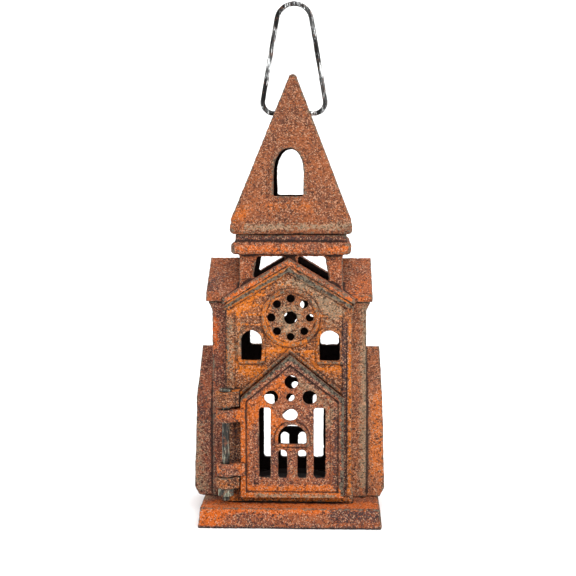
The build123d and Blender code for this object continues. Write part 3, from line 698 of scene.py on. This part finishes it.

# %% [markdown]
# ## Where each casting bloomed
# Rust is brightest where rain ran and dried, and dull where the casting was sheltered. Handling rubbed
# the mouldings of gable, hood and door down to iron. Some strokes are not stains but painted shadow
# lines: in gaps, under the bands and along the foot. These places are few, so each is a brush stroke in
# space: where it starts, where it ends, how wide it is (all in millimetres) and how strong. All castings
# read the same list, and so a stain crosses from one casting to its neighbour, as a real stain does.

# %% Stains
STAINS = {
    "bloom": [
        ((-33, -40, 131), (-7, -40, 146.5), 3.2, 0.9),
        ((-31, -40, 126), (-25, -40, 132), 6, 0.6),
        ((-15.5, -40, 126), (-14, -40, 113), 2.6, 0.8),
        ((-14, -40, 113), (-3, -40, 105.5), 2.6, 0.9),
        ((-3, -40, 105.5), (8, -40, 107), 2.6, 0.8),
        ((-14, -40, 128), (-7, -40, 134.5), 2.4, 0.6),
        ((-22, -40, 99), (-9, -40, 102), 4, 0.5),
        ((-34, -40, 98), (-20, -40, 90), 8, 0.55),
        ((10, -40, 98), (29, -40, 91), 6, 0.5),
        ((15, -40, 128), (17, -40, 105), 3, 0.45),
        ((-24, -45, 64), (-4, -45, 84), 4.5, 0.8),
        ((-12, -45, 62), (-3, -45, 50), 6, 0.75),
        ((-25, -45, 19), (26, -45, 21), 3.4, 0.8),
        ((-27, -45, 20), (-27, -45, 72), 3.2, 0.85),
        ((-40, -47, 80), (-31, -42, 78), 4, 0.8),
        ((-43, -48, 66), (-30, -46, 66), 3.6, 0.7),
        ((-43, -48, 35), (-30, -46, 35), 3.4, 0.6),
        ((-46.8, -28, 104), (-46.8, -28, 118), 4, 0.9),
        ((-50, -54, 3), (-45, -54, 10), 9, 0.75),
        ((-54, -50, 12), (54, -50, 12), 3.2, 0.9),
        ((-54, -44, 12), (54, -44, 12), 8, 0.75),
        ((34.6, -39.5, 20), (34.6, -39.5, 120), 1.5, 0.55),
        ((51, -27, 30), (53, -27, 96), 8, 0.5),
        ((-33, -35, 180), (-27, -33, 183), 5, 0.6),
        ((-30, -36, 161), (4, -36, 162), 3.5, 0.5),
        ((24, -36, 160), (35, -36, 163), 4, 0.6),
        ((38, -34, 132), (44, -20, 152), 9, 0.35),
        ((-36, -39, 131), (-4, -39, 151), 3, 0.35),
        ((-2, -39, 154), (34, -39, 132), 3, 0.35),
        ((-12, -32, 186), (10, -32, 186), 4, 0.4),
    ],
    "ash": [
        ((44, -29, 20), (44, -29, 125), 3.8, 0.75),
        ((38, -39, 20), (37, -39, 118), 2, 0.4),
        ((8, -40, 142), (28, -40, 126), 5, 0.55),
        ((20, -40, 128), (24, -40, 118), 5, 0.45),
        ((-6, -40, 142), (6, -40, 143), 4, 0.4),
        ((-0.5, -40, 124), (-0.5, -40, 117), 8.5, 0.6),
        ((-25, -37, 174), (36, -37, 175), 3, 0.6),
        ((37, -37, 181), (11, -11, 243), 2.2, 0.7),
        ((-56, -28, 22), (-56, -28, 58), 6, 0.5),
        ((6, -45, 84), (26, -45, 68), 4.5, 0.5),
        ((13, -45, 50), (22, -45, 62), 5, 0.45),
        ((3, -45, 30), (24, -45, 34), 5, 0.3),
        ((-35, -40, 30), (-35, -40, 120), 2.6, 0.4),
        ((-30, -40, 100), (-28, -40, 118), 3.5, 0.4),
        ((38, -40, 16), (40, -34, 20), 4, 0.6),
        ((-52, -30, 14), (-46, -34, 20), 6, 0.6),
        ((-20, -46, 17.5), (26, -46, 17.5), 1.6, 0.6),
    ],
    "shade": [
        ((26, -54, 8), (54, -54, 9), 5, 0.75),
        ((-30, -54, 7), (-22, -54, 5), 5, 0.4),
        ((4, -54, 8), (14, -54, 4), 5, 0.25),
        ((-56, -26, 62), (-55, -26, 96), 8, 0.5),
        ((31.6, -40, 18), (31.6, -40, 118), 1.9, 0.85),
        ((-33, -40, 20), (-33, -40, 72), 4, 0.5),
        ((-46, -28, 20), (-44, -28, 98), 3, 0.2),
        ((-48, -26, 140), (-40, -16, 153), 7, 0.6),
        ((26.4, -45, 22), (26.4, -45, 70), 1.8, 0.6),
        # The next three strokes are painted shadow lines, not purple rust: under the two bands and along
        # the foot where the lantern stands.
        ((-24, -36, 180), (26, -36, 180.5), 1.6, 0.5),
        ((-32, -33, 167.5), (32, -33, 167.5), 1.8, 0.8),
        ((-54, -54, 0), (54, -54, 0), 1.6, 0.9),
        ((-20, -40, 116), (-26, -40, 122), 4, 0.4),
        ((22, -40, 116), (28, -40, 120), 4, 0.3),
    ],
    "iron": [
        ((-38, -40, 128), (-1.1, -40, 149.6), 1.5, 0.85),
        ((-1.1, -40, 149.6), (36, -40, 128), 1.5, 0.85),
        ((-29, -45, 74.5), (-0.1, -45, 99.5), 1.9, 0.85),
        ((-0.1, -45, 99.5), (31, -45, 74.5), 1.9, 0.95),
        ((30.4, -45, 74), (30.4, -45, 18), 1.7, 0.85),
        ((-29, -45, 30), (-29, -45, 17), 2, 0.5),
        ((-58, -27, 60), (-56, -27, 100), 2.2, 0.6),
        ((36, -34, 176), (36, -36, 166), 2.5, 0.5),
        ((48, -30, 132), (47.5, 0, 153), 2, 0.4),
        ((-36.5, -40, 90), (-36.5, -40, 122), 1.6, 0.5),
    ],
    # Painted shadow lines in gaps and recesses: beside the bay and the door, under the bands, in the gap
    # under the door and along the foot.
    "shadow_line": [
        ((-37.9, -39.5, 20), (-37.9, -39.5, 128), 0.9, 0.9),
        ((32.8, -40, 20), (32.8, -40, 118), 0.6, 0.7),
        ((25, -45, 25), (25, -45, 72), 0.7, 0.8),
        ((-20, -45, 24), (24, -45, 24), 0.6, 0.7),
        ((-22, -36, 178.4), (34, -36, 178.7), 0.8, 0.7),
        ((-33, -33, 166), (33, -33, 166), 0.8, 0.8),
        ((-54, -54, 0.3), (54, -54, 0.3), 0.8, 1.0),
        ((-30, -41, 13), (34, -41, 13), 1.6, 0.9),
    ],
}


def stain(places, strokes):
    """How strongly a list of brush strokes stains each point, from 0 to 1."""
    total = np.zeros(len(places))
    for start, end, radius, strength in strokes:
        start, along = np.array(start), np.array(end) - np.array(start)
        away = places / MM - start
        share = np.clip(away @ along / max(along @ along, 1e-9), 0, 1)
        distance = np.linalg.norm(away - share[:, None] * along, axis=1) / radius
        total += strength * np.exp(-(distance**2))
    return np.clip(total, 0, 1)


print("stains:", {name: len(strokes) for name, strokes in STAINS.items()})

# %% [markdown]
# ## Marks in the castings
# The patterns that these castings were poured from had shallow scribed lines: courses of stone on the
# gable, a border around the spire's window. Each is a ridge about a millimetre wide, so it is given as a
# line on the front, from x and z to x and z in millimetres, and raised on the net. Lumps of iron at the
# foot are made the same way, each from its centre, radius and height.

# %% Raised lines and lumps
FRONT_LINES = [
    (-31, 123.4, -17.5, 123.2),
    (16.5, 122.7, 30, 122.7),
    (18, 129.5, 30, 129.6),
    (-30, 129.0, -19, 129.2),
    (-8, 141.0, 13, 141.0),
    (12, 135.6, 22, 135.6),
    (-22, 135.2, -14, 135.2),
    (-17, 117.6, -31, 117.6),
    (16.6, 116.8, 17.5, 104),
    (-30, 102.0, -30, 118),
    (-17, 101.6, 17, 101.9),
    (-29, 91.6, -12, 91.6),
    (13, 91.4, 29, 91.4),
]
SPIRE_LINES = [
    (-16.8, 189, -16.2, 202),
    (-16.2, 202, -8, 229),
    (12.9, 189, 11.5, 203),
    (11.5, 203, 8, 217),
    (-16.8, 189, 12.9, 189),
]
STAINS["bloom"] += [((x0, -39.2, z0), (x1, -39.2, z1), 0.7, 0.8) for x0, z0, x1, z1 in FRONT_LINES]
COURSE_WIDTH = 0.55
BORDER_WIDTH = 0.7
LUMPS = [((35.5, -39.5, 17), 5, 1.3), ((-51, -29, 17), 5, 0.8), ((-38, -49, 70), 3, 0.4)]


def drawn(places, normals, lines, width):
    """1 on the middle of each line, on faces that look forwards."""
    flat = places[:, (0, 2)] / MM
    most = np.zeros(len(places))
    for x0, z0, x1, z1 in lines:
        start, along = np.array((x0, z0)), np.array((x1 - x0, z1 - z0))
        share = np.clip((flat - start) @ along / (along @ along), 0, 1)
        distance = np.linalg.norm(flat - start - share[:, None] * along, axis=1)
        most = np.maximum(most, np.exp(-((distance / width) ** 2)))
    return most * ramp(-normals[:, 1], 0.5, 0.9) * ramp(-places[:, 1] / MM, 5, 15)


def lumps(places):
    """Height in metres of a few lumps of iron."""
    total = np.zeros(len(places))
    for centre, radius, height in LUMPS:
        distance = np.linalg.norm(places / MM - np.array(centre), axis=1) / radius
        total += MM * height * np.exp(-(distance**2))
    return total


def front_marks(places, normals):
    """Courses and lumps of the front facade."""
    broken = ramp(noise(places, 3 * MM, 77), -0.7, 0.1)
    return MM * 0.5 * drawn(places, normals, FRONT_LINES, COURSE_WIDTH) * broken + lumps(places)


def spire_marks(places, normals):
    """The border around the spire's window, and a lumpier foot."""
    foot = 1 - ramp(places[:, 2] / MM, 178, 186)
    rough = MM * 0.3 * foot * noise(places * np.array((0.5, 1, 1)), 2.6 * MM, 78)
    return MM * 0.35 * drawn(places, normals, SPIRE_LINES, BORDER_WIDTH) + rough


def roof_marks(places, normals):
    """The cornice under the spire is lumpy and streaked along its length."""
    band = ramp(places[:, 2] / MM, 156, 159)
    along = np.where(np.abs(normals[:, :1]) > np.abs(normals[:, 1:2]), (1, 0.35, 1), (0.35, 1, 1))
    return MM * 0.42 * band * layered(places * along, 2.4 * MM, 79)


def side_marks(places, normals):
    """Lumps at the foot of the side castings."""
    return lumps(places)


print("lines:", len(FRONT_LINES), "front,", len(SPIRE_LINES), "spire")

# %% [markdown]
# ## The castings
# Eight castings get the new skin. Each passes its own size of net: thin tracery needs a finer one than
# the broad roof.

# %% Make the castings
inside_centre = np.array((0, 0, 0.09))
FLOOR_TOP = 15
PORCH_HALF = (36, 39)


def inside(places, normals):
    """1 on faces that look towards the lantern's middle, where the soot and painted inner shade go."""
    outward = places - inside_centre
    outward[:, 2] *= 0.4
    outward /= np.linalg.norm(outward, axis=1)[:, None] + 1e-9
    facing = ramp(-(normals * outward).sum(1), 0.15, 0.6)
    x, y, z = np.abs(places.T / MM)
    porch = 1 - ramp(np.maximum(x - PORCH_HALF[0], y - PORCH_HALF[1]), 0, 2)
    return np.where(z < FLOOR_TOP, facing * porch, facing)


FINE = 0.42 * MM
COARSE = 0.55 * MM
worked = {
    "base_plinth": {"voxel": COARSE},
    "front_facade": {"voxel": FINE, "carve": front_marks},
    "rear_facade": {"voxel": COARSE},
    "left_side": {"voxel": COARSE, "carve": side_marks},
    "right_side": {"voxel": COARSE, "carve": side_marks},
    "roof_belfry": {"voxel": COARSE, "carve": roof_marks},
    "spire": {"voxel": COARSE, "carve": spire_marks},
    "door": {"voxel": FINE, "strength": 0.85},
}
for seed, (node, values) in enumerate(worked.items(), 1):
    casting(node, iron_of[node], seed, **values)
print("castings done")

# %% [markdown]
# ## Steel pieces
# Bolt, nuts, rods and screws were turned or rolled, not cast, so their relief is different: a thread
# that winds around the shank, a slot sawn across a head, chamfered corners on a nut, and the rings that
# a spinning tool leaves in the pan. All of it is cut inwards, because the CAD solid is the stock size.

# %% Threads, slots and chamfers
PITCH = 0.8
SLOT_HALF = 0.5
SLOT_DEPTH = 0.8
HEAD_REACH = 4
SOFT = 0.15


def around(places, centre):
    """Distance from an upright axis in millimetres, and the turn around it from 0 to 1."""
    x, y = places[:, 0] / MM - centre[0], places[:, 1] / MM - centre[1]
    return np.hypot(x, y), np.arctan2(y, x) / (2 * pi)


def thread(places, normals, centre, low, high, depth):
    """Grooves of a thread between two heights, in metres, on the sides of a shank."""
    z = places[:, 2] / MM
    turn = around(places, centre)[1]
    groove = np.abs(2 * ((z / PITCH - turn) % 1) - 1)
    zone = ramp(z, low - 2 * SOFT, low + 2 * SOFT) * ramp(-z, -high - 2 * SOFT, -high + 2 * SOFT)
    return -MM * depth * groove * zone * ramp(1 - np.abs(normals[:, 2]), 0.3, 0.7)


def slot(places, normals, centre, up):
    """A sawn slot across a head that looks up (1) or down (-1)."""
    across = np.abs(places[:, 1] / MM - centre[1])
    sawn = 1 - ramp(across, SLOT_HALF - SOFT, SLOT_HALF + SOFT)
    on_head = (up * normals[:, 2] > 0.4) & (around(places, centre)[0] < HEAD_REACH)
    return -MM * SLOT_DEPTH * sawn * on_head


def nut_chamfer(places, centre, low, high, across):
    """Takes the corners off both ends of a hexagon nut that is across millimetres over its flats."""
    z = places[:, 2] / MM
    to_end = np.maximum(np.minimum(z - low, high - z), 0)
    r = around(places, centre)[0]
    return -MM * np.maximum(0, r - across / 2 - SOFT - 0.9 * to_end)


print("thread pitch", PITCH, "slot", 2 * SLOT_HALF, "wide")

# %% [markdown]
# ## Where the steel pieces stand
# The marks have to sit on their own pieces, so each axis is read from the frame: the hinge from its joint,
# and the rods and screws from their nodes' boxes. Each piece then gets one function that adds its marks up.

# %% Marks of each steel piece
ROD_RADIUS = 2
SCREW_HEAD_RADIUS = 3.5
SCREW_HEAD_HEIGHT = 2.4
HINGE_NUT_FLATS = 9.0
TIE_NUT_FLATS = 7.0
hinge = tuple(v / MM for v in frame["record"]["behaviour"]["joints"][0]["pos_m"][:2])
bolt_box, nut_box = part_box("hinge_bolt"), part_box("hinge_nut")
rod_box, screw_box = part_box("tie_rods"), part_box("spire_screws")
tie_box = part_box("tie_nuts")
rod_centres = [(rod_box[0].x / MM + ROD_RADIUS, 0), (rod_box[1].x / MM - ROD_RADIUS, 0)]
screw_centre = screw_box[1].x / MM - SCREW_HEAD_RADIUS
print("hinge axis", hinge, "rods", [round(c[0], 1) for c in rod_centres])


def bolt_cut(places, normals):
    """Thread at the bolt's lower end, slot in its head, and worn flats on the shank."""
    low, high = bolt_box[0].z / MM, nut_box[1].z / MM + 3
    cut = thread(places, normals, hinge, low, high, 0.3) + slot(places, normals, hinge, 1)
    worn = ramp(noise(places * np.array((1, 1, 0.15)), 1.4 * MM, 91), 0.1, 0.7)
    return cut - MM * 0.12 * worn


def nut_cut(places, normals):
    """Chamfered corners and file marks on the hinge nut."""
    slanted = places @ np.array(((1, 0, 1), (0, 1, 0), (-1, 0, 1)))
    filed = ramp(noise(slanted, 1.1 * MM, 92), 0.1, 0.6)
    cut = nut_chamfer(places, hinge, nut_box[0].z / MM, nut_box[1].z / MM, HINGE_NUT_FLATS)
    return cut - MM * 0.14 * filed


def tie_nut_cut(places, normals):
    """Chamfered corners on both tie nuts."""
    low, high = tie_box[0].z / MM, tie_box[1].z / MM
    cuts = [nut_chamfer(places, centre, low, high, TIE_NUT_FLATS) for centre in rod_centres]
    return np.maximum(*cuts)


def rod_cut(places, normals):
    """Threads at both ends of the tie rods."""
    low, high = rod_box[0].z / MM, rod_box[1].z / MM
    both = []
    for centre in rod_centres:
        foot = thread(places, normals, centre, low, low + 9, 0.25)
        top = thread(places, normals, centre, high - 11, high, 0.25)
        both.append(foot + top)
    return np.where(places[:, 0] < 0, *both)


def screw_cut(places, normals):
    """Slots in the heads and threads on the shanks of the spire's screws."""
    cut = np.zeros(len(places))
    low, high = screw_box[0].z / MM + SCREW_HEAD_HEIGHT + 0.6, 400
    for centre in product((-screw_centre, screw_centre), repeat=2):
        near = around(places, centre)[0] < 5
        one = slot(places, normals, centre, -1) + thread(places, normals, centre, low, high, 0.22)
        cut += one * near
    return cut


def wire_marks(places, normals):
    """Shallow dents and drawn streaks of the wire."""
    dents = -0.10 * ramp(noise(places, 4 * MM, 93), 0.2, 0.8)
    streaks = -0.10 * ramp(noise(places * np.array((1, 1, 0.12)), 0.9 * MM, 94), 0.0, 0.7)
    return MM * (dents + streaks)


def pan_marks(places, normals):
    """Rings from spinning, and soft dents that both sides of the sheet share."""
    r = around(places, (0, 0))[0]
    rings = 0.07 * np.sin(2 * pi * r / 1.5) * (1 - ramp(r, 22, 24))
    dents = 0.10 * noise(places * np.array((1, 1, 0)), 7 * MM, 95)
    return MM * (rings + dents) * np.sign(normals[:, 2])


print("steel marks: bolt, nut, tie nuts, rods, screws, wire, pan")

# %% [markdown]
# ## Put the steel in
# The same casting function makes their nets. The sand relief is turned down to a tenth, since steel is
# smooth, and the mask of soot and painted inner shade is set for each: the loop is outside and clean,
# the rods inside are black. Each row gives the net's size in millimetres, the relaxing steps, the relief,
# the marks and the soot with painted shade.

# %% Make the steel pieces
steel_pieces = [
    ("hinge_bolt", bolt_steel, 0.20, 1, 0.12, bolt_cut, 0.0),
    ("hinge_nut", nut_steel, 0.20, 2, 0.30, nut_cut, 0.0),
    ("hanging_loop", wire_steel, 0.26, 1, 0.08, wire_marks, 0.0),
    ("candle_pan", pan_steel, 0.26, 1, 0.08, pan_marks, 0.9),
    ("tie_rods", inner_steel, 0.25, 1, 0.15, rod_cut, 0.7),
    ("tie_nuts", inner_steel, 0.22, 1, 0.20, tie_nut_cut, 0.5),
    ("spire_screws", inner_steel, 0.22, 1, 0.20, screw_cut, 0.9),
]
for seed, (node, material, net_mm, soften, strength, carve, soot_and_shade) in enumerate(steel_pieces, 21):
    casting(node, material, seed, net_mm * MM, soften, strength, carve, soot_and_shade)
print("steel done")
